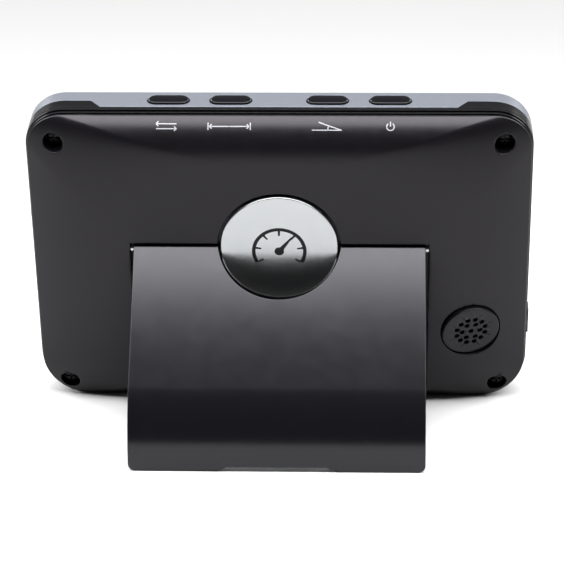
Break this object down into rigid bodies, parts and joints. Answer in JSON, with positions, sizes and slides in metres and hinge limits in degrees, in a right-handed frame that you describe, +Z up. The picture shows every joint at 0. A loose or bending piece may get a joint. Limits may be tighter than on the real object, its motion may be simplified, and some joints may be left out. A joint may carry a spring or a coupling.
{
  "type": "portable radar speed monitor",
  "caption": "Slim tabletop radar speed monitor with a front display, keys along its top edge, a rear fold-out stand, a speaker grille and a battery door.",
  "frame": {"origin": "centre of the footprint on the surface it stands on, with the stand folded out", "axes": "+Z up; the display faces -Y and the stand folds out towards +Y; +X runs along the long side, to the right seen from the front"},
  "size_m": [0.1564, 0.073, 0.1047],
  "materials": {
    "silver_housing": "satin silver paint on plastic",
    "clear_lens": "clear acrylic window",
    "black_film": "black printed film",
    "lcd_glass": "grey-green display glass",
    "white_guide": "milky light guide",
    "black_frame": "black moulded plastic",
    "dark_cover": "dark grey satin plastic with fine grain",
    "chrome_badge": "satin chrome",
    "key_plastic": "dark grey moulded plastic",
    "switch_black": "black moulded plastic",
    "circuit_board": "green solder mask",
    "copper": "bare copper",
    "bright_steel": "plated steel",
    "black_screw": "black plated steel",
    "cell_wrap": "printed cell wrap",
    "flap_rubber": "matt black rubber",
    "satin_stand": "dark satin plastic"
  },
  "bodies": {
    "monitor": {"front_housing": "silver_housing", "display_lens": "clear_lens", "display_mask": "black_film", "lcd_panel": "lcd_glass", "backlight": "white_guide", "mid_frame": "black_frame", "rear_cover": "dark_cover", "speaker_grille": "dark_cover", "emblem_disc": "chrome_badge", "switch_unit": "switch_black", "switch_distance": "switch_black", "switch_angle": "switch_black", "switch_power": "switch_black", "processor": "switch_black", "key_board": "circuit_board", "main_board": "circuit_board", "radar_board": "circuit_board", "port_board": "circuit_board", "radar_antenna": "copper", "radar_shield": "bright_steel", "port_socket": "bright_steel", "speaker_driver": "bright_steel", "hinge_pin_left": "bright_steel", "hinge_pin_right": "bright_steel", "cell_spring_1": "bright_steel", "cell_spring_2": "bright_steel", "cell_spring_3": "bright_steel", "cell_contact_1": "bright_steel", "cell_contact_2": "bright_steel", "cell_contact_3": "bright_steel", "case_screw_1": "black_screw", "case_screw_2": "black_screw", "case_screw_3": "black_screw", "case_screw_4": "black_screw", "board_screw_1": "black_screw", "board_screw_2": "black_screw", "board_screw_3": "black_screw", "board_screw_4": "black_screw", "cell_1": "cell_wrap", "cell_2": "cell_wrap", "cell_3": "cell_wrap"},
    "stand": {"stand": "satin_stand"},
    "battery_door": {"battery_door": "dark_cover"},
    "port_flap": {"port_flap": "flap_rubber"},
    "key_unit": {"key_unit": "key_plastic"},
    "key_distance": {"key_distance": "key_plastic"},
    "key_angle": {"key_angle": "key_plastic"},
    "key_power": {"key_power": "key_plastic"}
  },
  "joints": [
    {"name": "stand_hinge", "type": "hinge", "parent": "monitor", "child": "stand", "pos_m": [0.0003, -0.00377, 0.05736], "axis": [1, 0, 0], "range_deg": [-53.5, 0]},
    {"name": "door_lift", "type": "slide", "parent": "monitor", "child": "battery_door", "axis": [0, 0.9798, -0.1998], "range_m": [0, 0.014]},
    {"name": "flap_hinge", "type": "hinge", "parent": "monitor", "child": "port_flap", "pos_m": [-0.0777, -0.02516, 0.02203], "axis": [0, -0.9798, 0.1998], "range_deg": [0, 110]},
    {"name": "unit_press", "type": "slide", "parent": "monitor", "child": "key_unit", "axis": [0, -0.1998, -0.9798], "range_m": [0, 0.0006], "stiffness_N_per_m": 400},
    {"name": "distance_press", "type": "slide", "parent": "monitor", "child": "key_distance", "axis": [0, -0.1998, -0.9798], "range_m": [0, 0.0006], "stiffness_N_per_m": 400},
    {"name": "angle_press", "type": "slide", "parent": "monitor", "child": "key_angle", "axis": [0, -0.1998, -0.9798], "range_m": [0, 0.0006], "stiffness_N_per_m": 400},
    {"name": "power_press", "type": "slide", "parent": "monitor", "child": "key_power", "axis": [0, -0.1998, -0.9798], "range_m": [0, 0.0006], "stiffness_N_per_m": 400}
  ]
}
